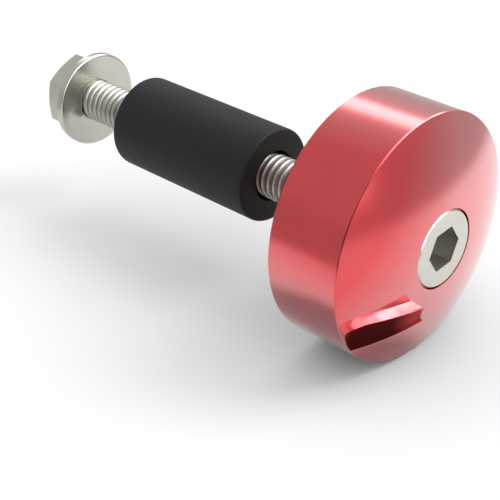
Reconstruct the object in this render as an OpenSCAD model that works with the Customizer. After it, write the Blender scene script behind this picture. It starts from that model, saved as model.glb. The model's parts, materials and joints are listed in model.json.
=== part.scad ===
// Bar end weight for a motorcycle handlebar: a turned, domed weight, the cap screw through it,
// the rubber sleeve that swells inside the bar and the flange nut that squeezes it.
// Frame: +X runs along the bar axis, out of the bar end, and +Z is up. The origin is on the
// axis, in the plane of the weight's back face, which meets the end of the bar.

/* [Weight] */
// Diameter of the weight
weight_d = 32; // [28:0.5:40]
// Length of its straight side, from the back face to the front rim
side_len = 10.4; // [8:0.1:16]
// Rise of the domed face, from the front rim to the edge of the screw's seat
dome_rise = 3.3; // [2:0.1:5]
// Bevel that breaks the sharp front rim
rim_break = 0.1; // [0.05:0.05:0.4]
// Chamfer round the back face
back_chamfer = 0.3; // [0.1:0.1:0.8]

/* [Fin on the face] */
// Height of the crest's straight run below the axis
fin_drop = 5.25; // [5.2:0.05:7]
// Distance from the axis plane to the blunt inner end of the fin, at its crest
fin_end_y = 5.1; // [4:0.05:6]
// Height of the crest over the dome where it leaves the rim
fin_rim_h = 0.5; // [0.1:0.05:0.8]
// Height of the crest over the dome at the blunt inner end
fin_end_h = 1.7; // [0.8:0.1:2]
// Width of the hollow upper flank at the rim
fin_upper_rim_w = 1.15; // [1:0.05:1.8]
// Width of the hollow upper flank at the inner end
fin_upper_end_w = 0.4; // [0.3:0.1:1.4]
// Width of the straight lower flank at the rim
fin_lower_rim_w = 2.4; // [1.8:0.1:3.2]
// Width of the straight lower flank at the inner end
fin_lower_end_w = 3.7; // [2:0.1:4]
// Sag of the crest where it runs out at the rim
fin_nose_drop = 0.95; // [0.2:0.05:1.2]
// Length over which the crest sags
fin_nose_len = 3; // [1:0.1:4]
// Slant of the fin's ends, as sideways run for each unit of drop
fin_slant_share = 0.7; // [0.3:0.05:0.9]
// Bend of the hollow upper flank, where 1 is straight
fin_hollow_share = 1.3; // [1:0.1:2.4]

/* [Cap screw] */
// Nominal thread diameter
screw_d = 6; // [5:0.5:8]
// Length under the head
screw_len = 60; // [56:1:70]
// Diameter of the cylindrical head
head_d = 10; // [9.6:0.1:13]
// Height of the head
head_h = 6; // [5:0.1:8]
// Chamfer round the head's outer face
head_chamfer = 0.2; // [0.1:0.05:0.4]
// Hexagon socket, across its flats
socket_af = 5; // [4:0.5:6]
// Depth of the straight part of the socket
socket_depth = 3; // [2.5:0.1:4]
// Turn of the socket about the axis, in degrees
socket_turn = 4.6; // [0:0.2:60]
// Chamfer on the screw's tip
tip_chamfer = 0.7; // [0.3:0.1:1]

/* [Rubber sleeve] */
// Outer diameter
sleeve_d = 12.8; // [11.5:0.1:16]
// Diameter of the hole
sleeve_bore_d = 6.8; // [6.6:0.1:9]
// Length
sleeve_len = 24.5; // [18:0.5:27]
// Radius of the rounded end edges
sleeve_edge_r = 0.45; // [0.2:0.05:0.8]
// Gap between the weight and the sleeve, before the screw is tightened
sleeve_gap = 13.4; // [5:0.1:14]

/* [Flange nut] */
// Hexagon, across its flats
nut_af = 10; // [9:0.5:11]
// Height over all
nut_h = 5; // [4:0.1:6]
// Diameter of the flange
flange_d = 13.6; // [13:0.1:16]
// Thickness of the flange at its edge
flange_t = 1; // [0.8:0.1:1.2]
// Radius of the flange's rounded edge
flange_edge_r = 0.35; // [0.1:0.05:0.4]
// Slope of the flange's back, from its edge in to the hexagon, in degrees
flange_slope = 25; // [15:1:30]
// Turn of the hexagon about the axis, in degrees
nut_turn = 28; // [0:1:60]
// Chamfer angle on the hexagon's corners, in degrees
nut_corner_angle = 30; // [20:1:35]
// Length of the screw that is already in the nut
nut_engaged = 3.87; // [2:0.01:4]

/* [Fits] */
// Radial gap round the screw's head in its seat
head_clear = 0.12; // [0.05:0.01:0.3]
// Gap between the underside of the head and the floor of its seat
seat_clear = 0.03; // [0.02:0.01:0.1]
// Radial gap round the screw in the weight
bore_clear = 0.3; // [0.2:0.05:0.5]
// Radial running gap between the screw and the nut
thread_clear = 0.05; // [0.02:0.01:0.1]
// Chamfer at the mouths of the holes
mouth_chamfer = 0.3; // [0.1:0.05:0.5]

/* [Hidden] */
$fn = 128;

// Overrun of every cut past the face that it opens
over = 1;

// Weight
weight_r = weight_d / 2;
seat_r = head_d / 2 + head_clear;
bore_r = screw_d / 2 + bore_clear;
face_x = side_len + dome_rise;
seat_x = face_x - head_h;
// The dome is the cap of a ball whose centre lies on the axis, behind the rim by dome_back
dome_back = (pow(weight_r, 2) - pow(seat_r, 2) - pow(dome_rise, 2)) / (2 * dome_rise);
dome_r = norm([weight_r, dome_back]);
dome_x = side_len - dome_back;
rim_slope = asin(weight_r / dome_r);

// Fin
fin_stations = 20;
fin_strips = 5;
fin_sink = 1;
// How far each flank runs on below the skin of the dome, as a share of its own width
fin_tuck_share = 0.12;
fin_start_y = weight_r + over;
fin_tip_y = sqrt(pow(weight_r, 2) - pow(fin_drop + fin_nose_drop, 2));

// Cap screw
screw_tip_x = seat_x + seat_clear - screw_len;
socket_r = socket_af / sqrt(3);
drill_cone_h = socket_af / 2 / tan(60);

// Places along the axis, inwards from the weight
sleeve_x = -sleeve_gap - sleeve_len;
nut_face_x = screw_tip_x + nut_engaged;
nut_end_x = nut_face_x - nut_h;

// Flange nut
nut_r = nut_af / sqrt(3);
nut_bore_r = screw_d / 2 + thread_clear;
flange_rise = (flange_d / 2 - nut_af / 2) * tan(flange_slope);
corner_drop = (nut_r - nut_af / 2) * tan(nut_corner_angle);

// Turns a profile of radius and length about the bar's axis
module turned() {
    rotate([0, 90, 0]) rotate_extrude() children();
}

// Runs a profile drawn square to the bar's axis along it, from one place to another
module along_axis(from_x, to_x, turn) {
    translate([from_x, 0, 0]) rotate([0, 90, 0]) rotate([0, 0, turn + 90])
        linear_extrude(to_x - from_x) children();
}

// A block in a turned profile, from one radius and place to another
module band(r1, x1, r2, x2) {
    translate([r1, x1]) square([r2 - r1, x2 - x1]);
}

// The weight's section, before its hole is cut
module weight_section() {
    difference() {
        intersection() {
            band(0, 0, weight_r, face_x + over);
            translate([0, dome_x]) circle(dome_r, $fn = 360);
        }
        polygon([
            [weight_r + over, side_len - rim_break - over * tan(rim_slope)],
            [weight_r, side_len - rim_break],
            [weight_r - rim_break * cos(rim_slope), side_len + rim_break * sin(rim_slope)],
            [weight_r - rim_break * cos(rim_slope), face_x],
            [weight_r + over, face_x]
        ]);
        polygon([
            [weight_r - back_chamfer, 0],
            [weight_r, back_chamfer],
            [weight_r + over, back_chamfer],
            [weight_r + over, -over],
            [weight_r - back_chamfer, -over]
        ]);
    }
}

// The hole through the weight: a seat for the screw's head, then the clearance bore
module weight_hole_section() {
    band(-over, -over, bore_r, face_x + over);
    band(-over, seat_x, seat_r, face_x + over);
    polygon([
        [0, -over],
        [bore_r + mouth_chamfer + over, -over],
        [bore_r, mouth_chamfer],
        [0, mouth_chamfer]
    ]);
}

// Places on the fin, where along runs from 0 outside the rim to 1 at the blunt end
function fin_crest_y(along) = fin_start_y + (fin_end_y - fin_start_y) * along;
// The way from the fin's tip on the rim to its blunt end, as a share
function fin_share(along) = max(0, fin_tip_y - fin_crest_y(along)) / (fin_tip_y - fin_end_y);
function fin_crest_h(along) = fin_rim_h + (fin_end_h - fin_rim_h) * fin_share(along);
function fin_upper_w(along) = fin_upper_rim_w + (fin_upper_end_w - fin_upper_rim_w) * fin_share(along);
function fin_lower_w(along) = fin_lower_rim_w + (fin_lower_end_w - fin_lower_rim_w) * fin_share(along);
function fin_sag(along) =
    fin_nose_drop * pow(max(0, 1 - fin_share(along) * (fin_tip_y - fin_end_y) / fin_nose_len), 2);
function on_dome(y, z) = dome_x + sqrt(pow(dome_r, 2) - pow(y, 2) - pow(z, 2));
function fin_point(along, up, h) =
    let (
        y = -fin_crest_y(along) - fin_slant_share * up,
        z = -fin_drop - fin_sag(along) + up
    ) [on_dome(y, z) + h, y, z];

// One section of the fin: the upper flank down to the crest, the lower flank, then the root
function fin_section(along) =
    let (h = fin_crest_h(along), up = fin_upper_w(along), low = fin_lower_w(along), tuck = fin_tuck_share)
    concat(
        [fin_point(along, up * (1 + tuck), -h * tuck)],
        [for (k = [1 : fin_strips]) let (w = k / fin_strips)
            fin_point(along, up * (1 - w), h * pow(w, fin_hollow_share))],
        [fin_point(along, -low * (1 + tuck), -h * tuck)],
        [fin_point(along, -low * (1 + tuck), -fin_sink)],
        [fin_point(along, up * (1 + tuck), -fin_sink)]
    );

// The fin as one skin through its sections
module fin_skin() {
    sections = [for (i = [0 : fin_stations]) fin_section(i / fin_stations)];
    n = len(sections[0]);
    last = n * fin_stations;
    polyhedron(
        points = [for (s = sections) each s],
        faces = concat(
            [for (k = [1 : n - 2]) [0, k, k + 1]],
            [for (k = [1 : n - 2]) [last, last + k + 1, last + k]],
            [for (i = [0 : fin_stations - 1], k = [0 : n - 1])
                [n * i + k, n * (i + 1) + k, n * i + (k + 1) % n]],
            [for (i = [0 : fin_stations - 1], k = [0 : n - 1])
                [n * (i + 1) + k, n * (i + 1) + (k + 1) % n, n * i + (k + 1) % n]]
        )
    );
}

module fin() {
    intersection() {
        fin_skin();
        turned() band(0, side_len - fin_sink * 2, weight_r - rim_break, face_x + fin_end_h + over);
    }
}

module weight() {
    color("crimson") difference() {
        union() {
            turned() weight_section();
            fin();
        }
        turned() intersection() {
            weight_hole_section();
            band(0, -over, weight_r, face_x + over);
        }
    }
}

module cap_screw() {
    color("silver") difference() {
        union() {
            turned() polygon([
                [0, seat_x + seat_clear],
                [head_d / 2, seat_x + seat_clear],
                [head_d / 2, face_x - head_chamfer],
                [head_d / 2 - head_chamfer, face_x],
                [0, face_x]
            ]);
            turned() polygon([
                [0, screw_tip_x],
                [screw_d / 2 - tip_chamfer, screw_tip_x],
                [screw_d / 2, screw_tip_x + tip_chamfer],
                [screw_d / 2, seat_x + head_chamfer],
                [0, seat_x + head_chamfer]
            ]);
        }
        along_axis(face_x - socket_depth, face_x + over, socket_turn) circle(socket_r, $fn = 6);
        turned() polygon([
            [0, face_x - socket_depth - drill_cone_h],
            [socket_af / 2, face_x - socket_depth],
            [socket_af / 2, face_x],
            [0, face_x]
        ]);
    }
}

module rubber_sleeve() {
    color("dimgray") turned() difference() {
        band(sleeve_bore_d / 2, sleeve_x, sleeve_d / 2, -sleeve_gap);
        for (end = [sleeve_x, -sleeve_gap]) {
            inward = end == sleeve_x ? sleeve_edge_r : -sleeve_edge_r;
            difference() {
                translate([sleeve_d / 2, end]) square(2 * sleeve_edge_r, center = true);
                translate([sleeve_d / 2 - sleeve_edge_r, end + inward]) circle(sleeve_edge_r, $fn = 64);
            }
        }
    }
}

// The flange's section: a flat bearing face, a rounded edge and a sloping back
module flange_section() {
    edge_x = nut_face_x - flange_edge_r;
    difference() {
        polygon([
            [0, nut_face_x],
            [flange_d / 2, nut_face_x],
            [flange_d / 2, nut_face_x - flange_t],
            [nut_af / 2, nut_face_x - flange_t - flange_rise],
            [0, nut_face_x - flange_t - flange_rise]
        ]);
        difference() {
            translate([flange_d / 2, nut_face_x]) square(2 * flange_edge_r, center = true);
            translate([flange_d / 2 - flange_edge_r, edge_x]) circle(flange_edge_r, $fn = 64);
        }
    }
}

// The bounds that chamfer the corners of the hexagon at the nut's far end
module nut_corner_section() {
    polygon([
        [0, nut_face_x],
        [nut_r + over, nut_face_x],
        [nut_r + over, nut_end_x + corner_drop + over * tan(nut_corner_angle)],
        [nut_af / 2, nut_end_x],
        [0, nut_end_x]
    ]);
}

module flange_nut() {
    color("gainsboro") difference() {
        union() {
            turned() flange_section();
            intersection() {
                along_axis(nut_end_x, nut_face_x - flange_t, nut_turn) circle(nut_r, $fn = 6);
                turned() nut_corner_section();
            }
        }
        turned() {
            band(0, nut_end_x - over, nut_bore_r, nut_face_x + over);
            for (mouth = [[nut_face_x, 1], [nut_end_x, -1]]) {
                polygon([
                    [0, mouth[0] - mouth[1] * mouth_chamfer],
                    [nut_bore_r, mouth[0] - mouth[1] * mouth_chamfer],
                    [nut_bore_r + mouth_chamfer + over, mouth[0] + mouth[1] * over],
                    [0, mouth[0] + mouth[1] * over]
                ]);
            }
        }
    }
}

weight();
cap_screw();
rubber_sleeve();
flange_nut();
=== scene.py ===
"""Looks for the bar end weight: anodised weight, cap screw, rubber sleeve and flange nut."""

import json
import math

import bmesh
import bpy
import numpy as np
from mathutils import Matrix, Vector

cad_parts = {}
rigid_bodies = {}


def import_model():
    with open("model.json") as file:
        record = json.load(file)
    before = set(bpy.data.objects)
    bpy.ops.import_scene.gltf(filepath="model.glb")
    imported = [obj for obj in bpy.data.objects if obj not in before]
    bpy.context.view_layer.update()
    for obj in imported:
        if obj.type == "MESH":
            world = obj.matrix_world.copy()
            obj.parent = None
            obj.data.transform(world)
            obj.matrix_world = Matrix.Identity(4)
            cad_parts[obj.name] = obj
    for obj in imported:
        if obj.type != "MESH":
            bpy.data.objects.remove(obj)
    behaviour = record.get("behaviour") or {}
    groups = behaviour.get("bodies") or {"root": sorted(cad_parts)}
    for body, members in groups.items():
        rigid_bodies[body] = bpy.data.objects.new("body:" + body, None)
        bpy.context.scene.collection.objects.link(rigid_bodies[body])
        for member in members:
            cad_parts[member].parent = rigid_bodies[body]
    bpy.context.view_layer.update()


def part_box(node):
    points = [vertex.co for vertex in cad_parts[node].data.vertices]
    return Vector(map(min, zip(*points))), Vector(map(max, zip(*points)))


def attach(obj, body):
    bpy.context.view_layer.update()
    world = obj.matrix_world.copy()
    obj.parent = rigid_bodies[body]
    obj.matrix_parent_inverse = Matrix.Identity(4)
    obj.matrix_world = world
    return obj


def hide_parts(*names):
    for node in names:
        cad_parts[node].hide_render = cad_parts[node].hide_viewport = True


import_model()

MM = 0.001

# The boxes of the CAD nodes, in millimetres, give the floor's height and the pieces' places along X
weight_lo, _ = (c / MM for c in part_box("weight"))
screw_lo, _ = (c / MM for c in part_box("cap_screw"))
sleeve_lo, sleeve_hi = (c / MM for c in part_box("rubber_sleeve"))
nut_lo, nut_hi = (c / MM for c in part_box("flange_nut"))
FLOOR_Z = weight_lo.z * MM

# Weight, in millimetres
WEIGHT_R = 16.0
SIDE_LEN = 10.4
DOME_RISE = 3.3
RIM_BREAK = 0.1
BACK_CHAMFER = 0.3
SEAT_R = 5.12
SEAT_DEPTH = 6.0
BORE_R = 3.3
MOUTH = 0.3
FACE_X = SIDE_LEN + DOME_RISE
SEAT_X = FACE_X - SEAT_DEPTH
DOME_BACK = (WEIGHT_R**2 - SEAT_R**2 - DOME_RISE**2) / (2 * DOME_RISE)
DOME_R = math.hypot(WEIGHT_R, DOME_BACK)
DOME_X = SIDE_LEN - DOME_BACK
SIDE_ROWS = 9
DOME_ROWS = 40
WEIGHT_TURNS = 256

# Fin on the face. Pairs give a size at the rim and at the inner end
FIN_DROP = 5.25
FIN_END_Y = 5.1
FIN_H = (0.5, 1.7)
FIN_UPPER = (1.15, 0.4)
FIN_LOWER = (2.4, 3.7)
FIN_NOSE_DROP = 0.95
FIN_NOSE_LEN = 3.0
FIN_SLANT = 0.7
FIN_HOLLOW = 1.3
FIN_SINK = 1.0
FIN_TUCK = 0.12
FIN_START_Y = WEIGHT_R + 1.0
FIN_TIP_Y = math.sqrt(WEIGHT_R**2 - (FIN_DROP + FIN_NOSE_DROP) ** 2)
FIN_STATIONS = 72
FIN_STRIPS = 12
FIN_RIM_CLEAR = 0.01
LIMIT_BEHIND = 4.0
LIMIT_AHEAD = 3.0
LIMIT_HOLE_R = 0.001

# Cap screw
SCREW_R = 3.0
SCREW_ROOT_R = 2.4
HEAD_R = 5.0
HEAD_CHAMFER = 0.2
HEAD_SEGMENTS = 96
SOCKET_AF = 5.0
SOCKET_DEPTH = 3.0
SOCKET_TURN = 4.6
SOCKET_CONE_ANGLE = 60.0
SOCKET_RING_CLEAR = 0.001
TIP_CHAMFER = 0.7
HEAD_UNDER_X = SEAT_X + 0.03

# The shank ends inside the head, in a cone, and the head's inner ring lies inside the thread's root
SHANK_IN_HEAD = 0.6
SHANK_CONE = 0.4
HEAD_RING_SINK = 0.4

# Thread. The roundness is the power by which the profile falls from the crest
PITCH = 1.0
ROUNDNESS = 2.6
ROWS_PER_TURN = 16
ROD_SEGMENTS = 64
ROWS_BEFORE = 1.7
ROWS_SPARE = 4
SAME_PLACE = 1e-9

# Rubber sleeve
SLEEVE_R = 6.4
SLEEVE_BORE_R = 3.4
SLEEVE_EDGE_R = 0.45
SLEEVE_MOUTH = 0.12
SLEEVE_ROWS = 12

# Flange nut. Its thread is cut into a narrower bore by a rod that stands out at both ends
NUT_AF = 10.0
NUT_TURN = 28.0
CORNER_ANGLE = 30.0
CORNER_OVER = 1.0
HEXAGON_SINK = 0.5
FLANGE_R = 6.8
FLANGE_T = 1.0
FLANGE_EDGE_R = 0.35
FLANGE_SLOPE = 25.0
FLANGE_LAP = 0.2
NARROW_BORE_R = 1.0
CUTTER_OVER = 1.4
THREAD_CLEAR = 0.05

TURNS = 192
EDGE_ROWS = 9
MERGE_DIST = 0.5e-6
FLAT_DIST = 1e-7


# Shapes


def clean(obj):
    """Merges doubles, drops flat faces and points the normals outwards."""
    bm = bmesh.new()
    bm.from_mesh(obj.data)
    bmesh.ops.remove_doubles(bm, verts=bm.verts, dist=MERGE_DIST)
    bmesh.ops.dissolve_degenerate(bm, edges=bm.edges, dist=FLAT_DIST)
    bmesh.ops.recalc_face_normals(bm, faces=bm.faces)
    bm.to_mesh(obj.data)
    bm.free()
    return obj


def finished(obj, material, angle):
    """Gives the material and smooth shading, with the edges sharper than the angle kept crisp."""
    obj.data.materials.clear()
    obj.data.materials.append(material)
    bm = bmesh.new()
    bm.from_mesh(obj.data)
    for face in bm.faces:
        face.smooth = True
    limit = math.radians(angle)
    for edge in bm.edges:
        edge.smooth = len(edge.link_faces) == 2 and edge.calc_face_angle(0) < limit
    bm.to_mesh(obj.data)
    bm.free()
    return obj


def linked(name, mesh):
    """An object at the origin, in the scene."""
    obj = bpy.data.objects.new(name, mesh)
    bpy.context.scene.collection.objects.link(obj)
    return obj


def new_object(name, verts, faces):
    """An object at the origin from points in millimetres."""
    mesh = bpy.data.meshes.new(name)
    mesh.from_pydata([Vector(v) * MM for v in verts], [], faces)
    return clean(linked(name, mesh))


def skin(rings, points):
    """Faces from ring to ring, where the last ring may be the first one again."""
    faces = []
    for i, j in rings:
        for k in range(points):
            m = (k + 1) % points
            faces.append((points * i + k, points * j + k, points * j + m, points * i + m))
    return faces


def revolved(name, profile, turns=TURNS):
    """A closed ring from a closed profile of (x, radius) points about the X axis."""
    verts = []
    for j in range(turns):
        a = 2 * math.pi * j / turns
        verts += [(x, r * math.cos(a), r * math.sin(a)) for x, r in profile]
    rings = [(j, (j + 1) % turns) for j in range(turns)]
    return new_object(name, verts, skin(rings, len(profile)))


def arc(cx, cr, radius, start, stop, count):
    """Points (x, radius) on an arc in a profile, angles in degrees from the X axis."""
    angles = np.radians(np.linspace(start, stop, count))
    return [(cx + radius * math.cos(a), cr + radius * math.sin(a)) for a in angles]


def combine(obj, other, operation):
    """A boolean between two closed meshes, kept on the first."""
    mod = obj.modifiers.new("combine", "BOOLEAN")
    mod.operation = operation
    mod.object = other
    mod.solver = "EXACT"
    graph = bpy.context.evaluated_depsgraph_get()
    mesh = bpy.data.meshes.new_from_object(obj.evaluated_get(graph))
    obj.modifiers.remove(mod)
    old = obj.data
    obj.data = mesh
    bpy.data.meshes.remove(old)
    bpy.data.meshes.remove(other.data)
    return clean(obj)


# Node trees


class Nodes:
    """A short way to write a tree of nodes."""

    def __init__(self, tree):
        self.tree = tree

    def put(self, socket, value):
        """Links another socket to this one, or gives it a value of its own."""
        if isinstance(value, bpy.types.NodeSocket):
            self.tree.links.new(value, socket)
        else:
            socket.default_value = value

    def fill(self, node, *values):
        """Puts values on a node's sockets in their order, and gives its first output."""
        for socket, value in zip(node.inputs, values):
            self.put(socket, value)
        return node.outputs[0]

    def node(self, kind, **inputs):
        """A new node, with values on its sockets by name."""
        node = self.tree.nodes.new(kind)
        for label, value in inputs.items():
            self.put(node.inputs[label.replace("_", " ")], value)
        return node

    def math(self, operation, *values):
        node = self.tree.nodes.new("ShaderNodeMath")
        node.operation = operation
        return self.fill(node, *values)

    def add(self, a, b):
        return self.math("ADD", a, b)

    def sub(self, a, b):
        return self.math("SUBTRACT", a, b)

    def mul(self, a, b):
        return self.math("MULTIPLY", a, b)

    def div(self, a, b):
        return self.math("DIVIDE", a, b)

    def length(self, a, b):
        return self.math("SQRT", self.add(self.mul(a, a), self.mul(b, b)))

    def choose(self, share, a, b):
        """The value a where the share is 0 and b where it is 1."""
        return self.add(self.mul(a, self.sub(1.0, share)), self.mul(b, share))


class GeometryTree(Nodes):
    """A tree of Geometry Nodes with named inputs."""

    def __init__(self, name, inputs):
        super().__init__(bpy.data.node_groups.new(name, "GeometryNodeTree"))
        self.ids = {}
        for label, kind, default in inputs:
            sock = self.tree.interface.new_socket(label, in_out="INPUT", socket_type=kind)
            self.ids[label] = sock.identifier
            if default is not None:
                sock.default_value = default
        self.tree.interface.new_socket("Mesh", in_out="OUTPUT", socket_type="NodeSocketGeometry")
        self.given = self.tree.nodes.new("NodeGroupInput").outputs
        self.exit = self.tree.nodes.new("NodeGroupOutput")


def thread_tree():
    """Rows of points along the helix, clamped to the two end planes, with a cone on each end."""
    number, count = "NodeSocketFloat", "NodeSocketInt"
    t = GeometryTree("thread", [
        ("Start", number, -0.05), ("Stop", number, 0.0), ("Pitch", number, 0.001),
        ("Root radius", number, 0.0024), ("Crest radius", number, 0.003),
        ("Start radius", number, 0.0023), ("Stop radius", number, 0.003),
        ("Roundness", number, 2.6), ("Rows", count, 100), ("Rows per turn", count, 16),
        ("Segments", count, 64), ("Material", "NodeSocketMaterial", None),
    ])
    start, stop, pitch = (t.given[label] for label in ("Start", "Stop", "Pitch"))
    root, crest = t.given["Root radius"], t.given["Crest radius"]
    columns = t.add(t.given["Segments"], 1.0)
    grid = t.node("GeometryNodeMeshGrid", Size_X=1.0, Size_Y=1.0,
                  Vertices_X=t.given["Rows"], Vertices_Y=columns)
    index = t.node("GeometryNodeInputIndex").outputs[0]
    row = t.math("FLOOR", t.div(t.add(index, 0.5), columns))
    column = t.sub(index, t.mul(row, columns))
    turn = t.div(column, t.given["Segments"])
    # Rows start one pitch and ROWS_BEFORE rows before the first plane. Every column, the seam's too,
    # then has a whole ring of points there, and no point lies in the plane of the head's underside.
    along = t.sub(t.div(t.sub(row, ROWS_BEFORE), t.given["Rows per turn"]), 1.0)
    raw = t.add(start, t.mul(pitch, t.add(along, turn)))
    x = t.math("MINIMUM", t.math("MAXIMUM", raw, start), stop)
    # The profile has broad round crests with narrow grooves between them, as a rolled thread has
    share = t.math("FRACT", t.add(along, t.div(start, pitch)))
    off_crest = t.mul(t.math("ABSOLUTE", t.sub(share, 0.5)), 2.0)
    depth = t.mul(t.sub(crest, root), t.math("POWER", off_crest, t.given["Roundness"]))
    near_start = t.add(t.given["Start radius"], t.sub(x, start))
    near_stop = t.add(t.given["Stop radius"], t.sub(stop, x))
    radius = t.math("MINIMUM", t.sub(crest, depth), t.math("MINIMUM", near_start, near_stop))
    at_start = t.math("LESS_THAN", raw, t.add(start, SAME_PLACE))
    at_stop = t.math("GREATER_THAN", raw, t.sub(stop, SAME_PLACE))
    radius = t.choose(at_start, radius, t.given["Start radius"])
    radius = t.choose(at_stop, radius, t.given["Stop radius"])
    # The first and the last row close the ends on the axis
    first = t.math("LESS_THAN", row, 0.5)
    last = t.math("GREATER_THAN", row, t.sub(t.given["Rows"], 1.5))
    radius = t.mul(radius, t.sub(1.0, t.math("MAXIMUM", first, last)))
    angle = t.mul(turn, 2 * math.pi)
    place = t.node("ShaderNodeCombineXYZ", X=x,
                   Y=t.mul(radius, t.math("COSINE", angle)), Z=t.mul(radius, t.math("SINE", angle)))
    moved = t.node("GeometryNodeSetPosition", Geometry=grid.outputs[0], Position=place.outputs[0])
    merged = t.node("GeometryNodeMergeByDistance", Geometry=moved.outputs[0], Distance=1e-6)
    real = t.node("GeometryNodeRealizeInstances", Geometry=merged.outputs[0])
    painted = t.node("GeometryNodeSetMaterial", Geometry=real.outputs[0], Material=t.given["Material"])
    t.put(t.exit.inputs[0], painted.outputs[0])
    return t


THREAD = thread_tree()


def threaded_rod(name, start, stop, root, crest, start_r, stop_r, material):
    """A closed threaded rod on the X axis, in millimetres."""
    obj = linked(name, bpy.data.meshes.new(name))
    mod = obj.modifiers.new("thread", "NODES")
    mod.node_group = THREAD.tree
    # One turn and some rows more than the length, so that the last ring is whole in every column
    rows = math.ceil((stop - start) / PITCH * ROWS_PER_TURN) + ROWS_PER_TURN + ROWS_SPARE
    values = {
        "Start": start * MM, "Stop": stop * MM, "Pitch": PITCH * MM,
        "Root radius": root * MM, "Crest radius": crest * MM,
        "Start radius": start_r * MM, "Stop radius": stop_r * MM, "Roundness": ROUNDNESS,
        "Rows": rows, "Rows per turn": ROWS_PER_TURN, "Segments": ROD_SEGMENTS, "Material": material,
    }
    for label, value in values.items():
        mod[THREAD.ids[label]] = value
    graph = bpy.context.evaluated_depsgraph_get()
    mesh = bpy.data.meshes.new_from_object(obj.evaluated_get(graph))
    obj.modifiers.remove(mod)
    obj.data = mesh
    return clean(obj)


# Materials


class Paint(Nodes):
    """A short way to write a material."""

    def __init__(self, name):
        self.material = bpy.data.materials.new(name)
        self.material.use_nodes = True
        super().__init__(self.material.node_tree)
        self.shader = self.tree.nodes["Principled BSDF"]
        self.surface = self.tree.nodes["Material Output"].inputs[0]

    def set(self, **values):
        for label, value in values.items():
            self.put(self.shader.inputs[label.replace("_", " ")], value)

    def place(self):
        """The place on the object, and its X, Y and Z."""
        place = self.node("ShaderNodeTexCoord").outputs["Object"]
        x, y, z = self.node("ShaderNodeSeparateXYZ", Vector=place).outputs
        return place, x, y, z

    def turned_place(self):
        """The place on the object, its X and its distance from the X axis."""
        place, x, y, z = self.place()
        return place, x, self.length(y, z)

    def noise(self, vector, scale, detail=2.0, rough=0.5):
        return self.node("ShaderNodeTexNoise", Vector=vector, Scale=scale, Detail=detail,
                         Roughness=rough).outputs["Fac"]

    def grooves(self, x, radius, scale):
        """Noise that is the same all round the X axis, as turning marks are."""
        along = self.node("ShaderNodeCombineXYZ", X=x, Y=radius).outputs[0]
        return self.noise(along, scale, rough=0.6)

    def blend(self, factor, a, b):
        """A mix of two colours, each of them a socket or three numbers."""
        node = self.tree.nodes.new("ShaderNodeMix")
        node.data_type = "RGBA"
        self.put(node.inputs["Factor"], factor)
        for label, colour in (("A", a), ("B", b)):
            whole = isinstance(colour, bpy.types.NodeSocket)
            self.put(node.inputs[label], colour if whole else (*colour, 1))
        return node.outputs["Result"]

    def ramp(self, value, start, stop, low, high, kind="SMOOTHSTEP"):
        """Takes a value from one range to another, and holds it at both ends."""
        node = self.node("ShaderNodeMapRange", Value=value, From_Min=start, From_Max=stop,
                         To_Min=low, To_Max=high)
        node.interpolation_type = kind
        return node.outputs[0]

    def scaled(self, noise, low, high):
        """Noise, which mostly lies between a quarter and three quarters, in another range."""
        return self.ramp(noise, 0.25, 0.75, low, high, "LINEAR")

    def glancing(self, start, stop, low, high):
        """A value that grows as the surface turns away from the eye."""
        facing = self.node("ShaderNodeLayerWeight").outputs["Facing"]
        return self.ramp(facing, start, stop, low, high, "LINEAR")

    def bump(self, height, distance, strength=1.0):
        return self.node("ShaderNodeBump", Height=height, Distance=distance, Strength=strength).outputs[0]

    def glow(self, **values):
        return self.node("ShaderNodeEmission", **values).outputs[0]

    def cover(self, factor, under, over):
        """The second shader over the first, by the factor."""
        return self.fill(self.tree.nodes.new("ShaderNodeMixShader"), factor, under, over)


# Steel inside this radius and behind this place, in metres, is in the socket or on a thread. Its colour
# is this share of the plain steel's brightness, which is painted shade there, and it is rougher by this
# much
ROUGH_AND_SHADED_R = 0.00305
ROUGH_AND_SHADED_X = (FACE_X - 0.02) * MM
PAINTED_SHADE_SHARE = 0.7
DULL_ROUGH = 0.12
MARK_DEPTH = 0.000004


def anodised():
    """Red dyed aluminium: a metal under a thin clear oxide skin, with faint turning marks."""
    p = Paint("red_anodised")
    place, x, radius = p.turned_place()
    dye = p.noise(place, 260.0, 3.0)
    grooves = p.grooves(x, radius, 9000.0)
    p.set(
        Base_Color=p.blend(dye, (0.70, 0.050, 0.060), (0.76, 0.062, 0.072)),
        Metallic=1.0,
        Roughness=p.scaled(grooves, 0.20, 0.26),
        Coat_Weight=p.glancing(0.25, 0.48, 0.2, 1.0), Coat_IOR=2.9, Coat_Roughness=0.14,
        Normal=p.bump(grooves, MARK_DEPTH),
    )
    return p.material


def steel(name, low, high, rough_low, rough_high):
    """Plain or plated steel with faint turning marks; rougher, with painted shade, in the socket and
    threads.
    """
    p = Paint(name)
    place, x, radius = p.turned_place()
    cloud = p.noise(place, 420.0, 3.0)
    grooves = p.grooves(x, radius, 7000.0)
    inside = p.mul(p.math("LESS_THAN", radius, ROUGH_AND_SHADED_R), p.math("LESS_THAN", x, ROUGH_AND_SHADED_X))
    plain = p.blend(cloud, low, high)
    # Painted shade: a darker copy of the steel's colour for the socket and the threads
    painted_shade_colour = p.blend(cloud, *(tuple(c * PAINTED_SHADE_SHARE for c in colour) for colour in (low, high)))
    rough = p.scaled(grooves, rough_low, rough_high)
    p.set(
        Base_Color=p.blend(inside, plain, painted_shade_colour),
        Metallic=1.0,
        Roughness=p.add(rough, p.mul(inside, DULL_ROUGH)),
        Normal=p.bump(grooves, MARK_DEPTH),
    )
    return p.material


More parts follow.
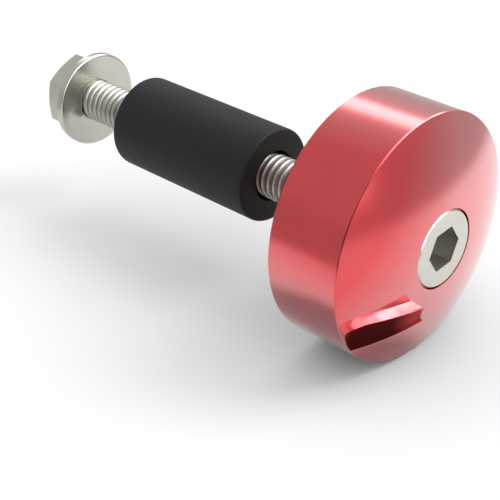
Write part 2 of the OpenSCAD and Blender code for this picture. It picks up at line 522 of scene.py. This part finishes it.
def rubber():
    """Moulded black rubber with a fine matt grain."""
    p = Paint("black_rubber")
    place = p.place()[0]
    grain = p.noise(place, 9000.0)
    cloud = p.noise(place, 180.0, 3.0)
    p.set(
        Base_Color=p.blend(cloud, (0.011, 0.010, 0.010), (0.015, 0.014, 0.014)),
        Roughness=p.scaled(cloud, 0.52, 0.62),
        Specular_IOR_Level=0.24,
        Normal=p.bump(grain, 0.00001, 0.5),
    )
    return p.material


RED = anodised()
SCREW_STEEL = steel("screw_steel", (0.60, 0.585, 0.54), (0.66, 0.645, 0.60), 0.24, 0.32)
NUT_STEEL = steel("nut_steel", (0.53, 0.51, 0.455), (0.59, 0.57, 0.515), 0.20, 0.29)
RUBBER = rubber()


# Weight


def on_dome(y, z):
    return DOME_X + math.sqrt(DOME_R**2 - y * y - z * z)


def between(pair, share):
    return pair[0] + (pair[1] - pair[0]) * share


def fin_section(crest_y):
    """A ring of points round one section of the fin, with its feet just under the dome."""
    inward = max(0.0, FIN_TIP_Y - crest_y)
    share = inward / (FIN_TIP_Y - FIN_END_Y)
    sag = FIN_NOSE_DROP * max(0.0, 1 - inward / FIN_NOSE_LEN) ** 2
    h, up, low = (between(pair, share) for pair in (FIN_H, FIN_UPPER, FIN_LOWER))

    def point(rise, height):
        y, z = -crest_y - FIN_SLANT * rise, -FIN_DROP - sag + rise
        return (on_dome(y, z) + height, y, z)

    ring = [point(up * (1 + FIN_TUCK), -h * FIN_TUCK)]
    for k in range(1, FIN_STRIPS + 1):
        w = k / FIN_STRIPS
        ring.append(point(up * (1 - w), h * w**FIN_HOLLOW))
    for k in range(1, FIN_STRIPS + 1):
        w = (1 + FIN_TUCK) * k / FIN_STRIPS
        ring.append(point(-low * w, h * (1 - w)))
    ring.append(point(-low * (1 + FIN_TUCK), -FIN_SINK))
    ring.append(point(up * (1 + FIN_TUCK), -FIN_SINK))
    return ring


def fin_solid():
    """The fin, on more sections than the source has, cut off just inside the rim."""
    stations = range(FIN_STATIONS + 1)
    sections = [fin_section(between((FIN_START_Y, FIN_END_Y), i / FIN_STATIONS)) for i in stations]
    n = len(sections[0])
    faces = skin([(i, i + 1) for i in range(FIN_STATIONS)], n)
    faces.append(tuple(range(n)))
    faces.append(tuple(n * FIN_STATIONS + k for k in reversed(range(n))))
    fin = new_object("fin", [v for section in sections for v in section], faces)
    # A drum as wide as the fin may be. Its profile stops just short of the axis, and the holes that
    # are left there are filled.
    outer = WEIGHT_R - RIM_BREAK - FIN_RIM_CLEAR
    behind, ahead = SIDE_LEN - LIMIT_BEHIND, FACE_X + LIMIT_AHEAD
    profile = [(behind, LIMIT_HOLE_R), (behind, outer), (ahead, outer), (ahead, LIMIT_HOLE_R)]
    limit = revolved("limit", profile)
    bm = bmesh.new()
    bm.from_mesh(limit.data)
    bmesh.ops.holes_fill(bm, edges=bm.edges)
    bm.to_mesh(limit.data)
    bm.free()
    return combine(fin, limit, "INTERSECT")


def weight_piece():
    """The turned weight with its dome, seat and bore, joined with the fin."""
    rim_slope = math.asin(WEIGHT_R / DOME_R)
    outer = WEIGHT_R - RIM_BREAK * math.cos(rim_slope)
    side = np.linspace(BACK_CHAMFER, SIDE_LEN - RIM_BREAK, SIDE_ROWS)[1:]
    start, stop = (math.degrees(math.asin(r / DOME_R)) for r in (outer, SEAT_R))
    profile = [(0.0, BORE_R + MOUTH), (0.0, WEIGHT_R - BACK_CHAMFER), (BACK_CHAMFER, WEIGHT_R)]
    profile += [(x, WEIGHT_R) for x in side]
    profile += arc(DOME_X, 0.0, DOME_R, start, stop, DOME_ROWS)
    profile += [(SEAT_X, SEAT_R), (SEAT_X, BORE_R), (MOUTH, BORE_R)]
    turned = revolved("weight_body", profile, WEIGHT_TURNS)
    return finished(combine(turned, fin_solid(), "UNION"), RED, angle=16)


# Cap screw


def screw_piece():
    """The head with its socket, closed onto the threaded shank."""
    n = HEAD_SEGMENTS
    angles = [2 * math.pi * j / n for j in range(n)]
    sides = [(math.degrees(a) - SOCKET_TURN) % 60 - 30 for a in angles]

    def ring(x, radius):
        return [(x, radius * math.cos(a), radius * math.sin(a)) for a in angles]

    def hex_ring(x):
        radii = [SOCKET_AF / 2 / math.cos(math.radians(side)) for side in sides]
        return [(x, r * math.cos(a), r * math.sin(a)) for r, a in zip(radii, angles)]

    floor_x = FACE_X - SOCKET_DEPTH
    cone_x = floor_x - SOCKET_AF / 2 / math.tan(math.radians(SOCKET_CONE_ANGLE))
    rings = [
        ring(HEAD_UNDER_X, SCREW_ROOT_R - HEAD_RING_SINK), ring(HEAD_UNDER_X, HEAD_R),
        ring(FACE_X - HEAD_CHAMFER, HEAD_R), ring(FACE_X, HEAD_R - HEAD_CHAMFER),
        hex_ring(FACE_X), hex_ring(floor_x), ring(floor_x, SOCKET_AF / 2 - SOCKET_RING_CLEAR),
    ]
    verts = [v for r in rings for v in r]
    faces = []
    for i in range(len(rings) - 1):
        for j in range(n):
            k = (j + 1) % n
            faces.append((n * i + j, n * i + k, n * (i + 1) + k, n * (i + 1) + j))
    last = n * (len(rings) - 1)
    verts.append((cone_x, 0, 0))
    faces += [(last + j, last + (j + 1) % n, len(verts) - 1) for j in range(n)]
    faces.append(tuple(range(n)))
    head = new_object("cap_screw_metal", verts, faces)
    shank = threaded_rod("shank", screw_lo.x, HEAD_UNDER_X + SHANK_IN_HEAD, SCREW_ROOT_R, SCREW_R,
                         SCREW_R - TIP_CHAMFER, SCREW_R - SHANK_CONE, SCREW_STEEL)
    return finished(combine(head, shank, "UNION"), SCREW_STEEL, angle=32)


# Rubber sleeve


def sleeve_piece():
    """A tube with rounded outer edges and a small chamfer at each mouth."""
    a, b = sleeve_lo.x, sleeve_hi.x
    e, mouth = SLEEVE_EDGE_R, SLEEVE_MOUTH
    profile = [(a, SLEEVE_BORE_R + mouth)]
    profile += arc(a + e, SLEEVE_R - e, e, 180, 90, EDGE_ROWS)
    profile += [(x, SLEEVE_R) for x in np.linspace(a + e, b - e, SLEEVE_ROWS)[1:-1]]
    profile += arc(b - e, SLEEVE_R - e, e, 90, 0, EDGE_ROWS)
    profile += [(b, SLEEVE_BORE_R + mouth), (b - mouth, SLEEVE_BORE_R), (a + mouth, SLEEVE_BORE_R)]
    return finished(revolved("rubber_sleeve_body", profile), RUBBER, angle=30)


# Flange nut


def nut_piece():
    """A flange on a hexagon with chamfered corners, cut by the internal thread."""
    face_x, end_x = nut_hi.x, nut_lo.x
    nut_r = NUT_AF / math.sqrt(3)
    rise = (FLANGE_R - NUT_AF / 2) * math.tan(math.radians(FLANGE_SLOPE))
    e, bore = FLANGE_EDGE_R, NARROW_BORE_R
    profile = [(face_x, bore)]
    profile += arc(face_x - e, FLANGE_R - e, e, 0, 90, EDGE_ROWS)
    profile += [(face_x - FLANGE_T, FLANGE_R), (face_x - FLANGE_T - rise, NUT_AF / 2 - FLANGE_LAP),
                (face_x - FLANGE_T - rise, bore)]
    flange = revolved("flange_nut_metal", profile)
    points = []
    for x in (end_x, face_x - HEXAGON_SINK):
        for k in range(6):
            a = math.radians(NUT_TURN + 60 * k)
            points.append((x, nut_r * math.cos(a), nut_r * math.sin(a)))
    sides = [(k, (k + 1) % 6, 6 + (k + 1) % 6, 6 + k) for k in range(6)]
    hexagon = new_object("hexagon", points, sides + [tuple(range(6)), tuple(range(6, 12))])
    over = nut_r + CORNER_OVER
    drop = (over - NUT_AF / 2) * math.tan(math.radians(CORNER_ANGLE))
    cone = revolved("corner_cone", [(end_x, bore), (end_x, NUT_AF / 2), (end_x + drop, over),
                                    (face_x, over), (face_x, bore)])
    obj = combine(flange, combine(hexagon, cone, "INTERSECT"), "UNION")
    cutter = threaded_rod("cutter", end_x - CUTTER_OVER, face_x + CUTTER_OVER,
                          SCREW_ROOT_R + 2 * THREAD_CLEAR, SCREW_R + THREAD_CLEAR, SCREW_R, SCREW_R,
                          NUT_STEEL)
    return finished(combine(obj, cutter, "DIFFERENCE"), NUT_STEEL, angle=28)


for piece, node, body, slot in (
    (weight_piece(), "weight", "weight", "red_anodised"),
    (screw_piece(), "cap_screw", "screw", "screw_steel"),
    (sleeve_piece(), "rubber_sleeve", "sleeve", "black_rubber"),
    (nut_piece(), "flange_nut", "nut", "nut_steel"),
):
    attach(piece, body)
    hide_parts(node)


# Floor and what only reflections show, in metres unless it says otherwise

# The floor fades to the background, from one distance from its middle to another. In reflections it
# fades to the horizon's brightness.
FLOOR_HALF = 3.0
FLOOR_MID = (0.005, 0.01)
FLOOR_FADE = (0.05, 0.15)
FLOOR_FADE_MIRRORED = (0.075, 0.115)
FLOOR_WHITE = 0.94

# Painted shade: dark patches of the floor that only reflections show. Centre, half sizes and colour.
# Each fades out between these shares of its half sizes.
PAINTED_SHADE_PATCHES = (
    (0.0105, -0.006, 0.0055, 0.008, (0.32, 0.30, 0.30, 1.0)),
    (0.001, -0.0175, 0.011, 0.0085, (0.34, 0.32, 0.32, 1.0)),
    (0.100, -0.105, 0.075, 0.075, (0.18, 0.12, 0.12, 1.0)),
)
PAINTED_SHADE_FADE = (0.5, 1.35)

# Painted shade and reflection: a card low beside the dome that only reflections show. Its outline and
# height in millimetres, its two colours (dark shade, then a red reflection of the weight), and where
# along Y the first turns into the second
PAINTED_SHADE_CARD = (
    (12.7, -1.8), (12.55, -3.6), (12.15, -6.4), (11.65, -8.7), (10.95, -11.1), (10.4, -12.7),
    (10.4, -13.5), (14.9, -13.5), (14.9, -1.8),
)
PAINTED_SHADE_CARD_Z = -9.7
PAINTED_SHADE_DARK = (0.05, 0.012, 0.012)
PAINTED_RED_REFLECTION = (0.33, 0.068, 0.068)
PAINTED_SHADE_TURN = (-0.0070, -0.0030)

# The room's brightness at the horizon, on the wall and overhead, and between which heights, as
# sines of the elevation, it goes from one to the next
ROOM_R = 2.0
HORIZON = 0.55
WALL = 0.66
CEILING = 0.75
WALL_RISE = (0.12, 0.45)
CEILING_RISE = (0.8, 0.95)

# Soft boxes in the room, and last a dark card: azimuth and elevation in degrees, half width, half
# height and soft edge as tangents, and the strength that is added to the room's
SOFTBOXES = (
    (136, 38.5, 0.45, 0.105, 0.03, 1.9),
    (48, 55, 0.80, 0.38, 0.08, 3.2),
    (-16, 14, 0.40, 0.46, 0.26, 2.4),
    (27, 20, 0.14, 0.07, 0.05, 1.1),
    (-52, 20, 0.42, 0.58, 0.10, -0.45),
)

# Brightness of the white room as a light on matt surfaces. It is seen and mirrored at 1.
FILL = 0.96

LAMP_TARGET = Vector((-0.01, 0.0, 0.0))
LAMP_WAY = Vector((0.46, 0.50, 0.735)).normalized()
LAMP_DISTANCE = 0.5
LAMP_SIDE = 0.26
LAMP_WATTS = 0.8

# The camera fitted to the photo's outlines, with its place in millimetres
CAMERA_LENS = 91.955
CAMERA_SENSOR = 36.0
CAMERA_PLACE = Vector((85.834, -109.433, 77.044))
CAMERA_BACK = Vector((0.5900, -0.6234, 0.5131)).normalized()
CAMERA_RIGHT = Vector((0.7263, 0.6874, 0.0)).normalized()


def stage_mesh(name, verts, faces):
    mesh = bpy.data.meshes.new(name)
    mesh.from_pydata(verts, [], faces)
    obj = linked(name, mesh)
    return obj


def only_in_reflections(obj):
    obj.visible_camera = False
    obj.visible_diffuse = False
    obj.visible_transmission = False
    obj.visible_shadow = False


def floor():
    """A white floor that keeps the shadows near the object and fades to the background."""
    square = [(x * FLOOR_HALF, y * FLOOR_HALF, FLOOR_Z) for x, y in ((-1, -1), (1, -1), (1, 1), (-1, 1))]
    obj = stage_mesh("floor", square, [(0, 1, 2, 3)])
    p = Paint("floor")
    p.set(Base_Color=(FLOOR_WHITE, FLOOR_WHITE, FLOOR_WHITE, 1), Roughness=0.9, Specular_IOR_Level=0.0)
    _, x, y, _ = p.place()
    radius = p.length(p.sub(x, FLOOR_MID[0]), p.sub(y, FLOOR_MID[1]))
    path = p.node("ShaderNodeLightPath").outputs
    far_seen = p.mul(path["Is Camera Ray"], p.ramp(radius, *FLOOR_FADE, 0.0, 1.0))
    far_mirrored = p.mul(path["Is Glossy Ray"], p.ramp(radius, *FLOOR_FADE_MIRRORED, 0.0, 1.0))
    shader = p.cover(far_seen, p.shader.outputs[0], p.glow(Strength=1.0))
    shader = p.cover(far_mirrored, shader, p.glow(Strength=HORIZON))
    # Painted shade: dark patches of the floor that only glossy rays see
    for mid_x, mid_y, half_x, half_y, colour in PAINTED_SHADE_PATCHES:
        off = p.length(p.div(p.sub(x, mid_x), half_x), p.div(p.sub(y, mid_y), half_y))
        share = p.mul(path["Is Glossy Ray"], p.ramp(off, *PAINTED_SHADE_FADE, 1.0, 0.0))
        shader = p.cover(share, shader, p.glow(Color=colour))
    p.put(p.surface, shader)
    obj.data.materials.append(p.material)


def backdrop():
    """A grey room with soft boxes and a dark card, which only the reflections show."""
    bm = bmesh.new()
    bmesh.ops.create_uvsphere(bm, u_segments=64, v_segments=32, radius=ROOM_R)
    mesh = bpy.data.meshes.new("backdrop")
    bm.to_mesh(mesh)
    bm.free()
    obj = linked("backdrop", mesh)
    only_in_reflections(obj)
    p = Paint("backdrop")
    unit = p.tree.nodes.new("ShaderNodeVectorMath")
    unit.operation = "NORMALIZE"
    p.fill(unit, p.place()[0])

    def toward(way):
        """How far the room's point lies in a direction, as a cosine."""
        node = p.tree.nodes.new("ShaderNodeVectorMath")
        node.operation = "DOT_PRODUCT"
        p.fill(node, unit.outputs[0], way)
        return node.outputs["Value"]

    height = toward((0, 0, 1))
    strength = p.add(p.ramp(height, *WALL_RISE, HORIZON, WALL),
                     p.ramp(height, *CEILING_RISE, 0.0, CEILING - WALL))
    for az, el, wide, high, edge, power in SOFTBOXES:
        az, el = math.radians(az), math.radians(el)
        out = Vector((math.cos(az) * math.cos(el), math.sin(az) * math.cos(el), math.sin(el)))
        side = Vector((-math.sin(az), math.cos(az), 0))
        # Behind the middle of the room there is no box, and nothing is divided by nought
        ahead = p.math("MAXIMUM", toward(out), 0.01)
        in_front = p.math("GREATER_THAN", ahead, 0.02)
        across = p.math("ABSOLUTE", p.div(toward(side), ahead))
        upward = p.math("ABSOLUTE", p.div(toward(out.cross(side)), ahead))
        mask = p.mul(p.ramp(across, wide - edge, wide + edge, power, 0.0),
                     p.ramp(upward, high - edge, high + edge, 1.0, 0.0))
        strength = p.add(strength, p.mul(mask, in_front))
    p.put(p.surface, p.glow(Strength=strength))
    mesh.materials.append(p.material)


def flag():
    """A small dark card that only the reflections show: painted shade and a painted red reflection."""
    verts = [(x * MM, y * MM, PAINTED_SHADE_CARD_Z * MM) for x, y in PAINTED_SHADE_CARD]
    obj = stage_mesh("flag", verts, [tuple(range(len(verts)))])
    only_in_reflections(obj)
    p = Paint("flag")
    _, _, y, _ = p.place()
    p.put(p.surface, p.glow(Color=p.blend(p.ramp(y, *PAINTED_SHADE_TURN, 0.0, 1.0), PAINTED_SHADE_DARK, PAINTED_RED_REFLECTION)))
    obj.data.materials.append(p.material)


def white_room():
    """The white background, seen and mirrored at strength 1."""
    world = bpy.data.worlds.new("room")
    bpy.context.scene.world = world
    world.use_nodes = True
    w = Nodes(world.node_tree)
    path = w.node("ShaderNodeLightPath").outputs
    mirrored = w.math("MAXIMUM", path["Is Glossy Ray"], path["Is Transmission Ray"])
    seen = w.math("MAXIMUM", path["Is Camera Ray"], mirrored)
    background = w.tree.nodes["Background"].inputs
    w.put(background["Strength"], w.add(FILL, w.mul(seen, 1.0 - FILL)))
    w.put(background["Color"], (1, 1, 1, 1))


def key_lamp():
    """A square area lamp aimed at the object, for its soft shadow."""
    data = bpy.data.lights.new("key", "AREA")
    data.shape = "RECTANGLE"
    data.size = data.size_y = LAMP_SIDE
    data.energy = LAMP_WATTS
    obj = linked("key", data)
    obj.location = LAMP_TARGET + LAMP_WAY * LAMP_DISTANCE
    obj.rotation_mode = "QUATERNION"
    obj.rotation_quaternion = (-LAMP_WAY).to_track_quat("-Z", "Y")


def photo_camera():
    """The camera at the photo's place, looking as it did."""
    camera = bpy.data.cameras.new("camera")
    camera.lens = CAMERA_LENS
    camera.sensor_width = CAMERA_SENSOR
    camera.clip_start, camera.clip_end = 0.01, 20.0
    rig = linked("camera", camera)
    up = CAMERA_BACK.cross(CAMERA_RIGHT)
    turn = Matrix((CAMERA_RIGHT, up, CAMERA_BACK)).transposed().to_4x4()
    rig.matrix_world = Matrix.Translation(CAMERA_PLACE * MM) @ turn
    bpy.context.scene.camera = rig


floor()
backdrop()
flag()
white_room()
key_lamp()
photo_camera()
bpy.context.scene.view_settings.view_transform = "Standard"
bpy.context.scene.cycles.caustics_reflective = False
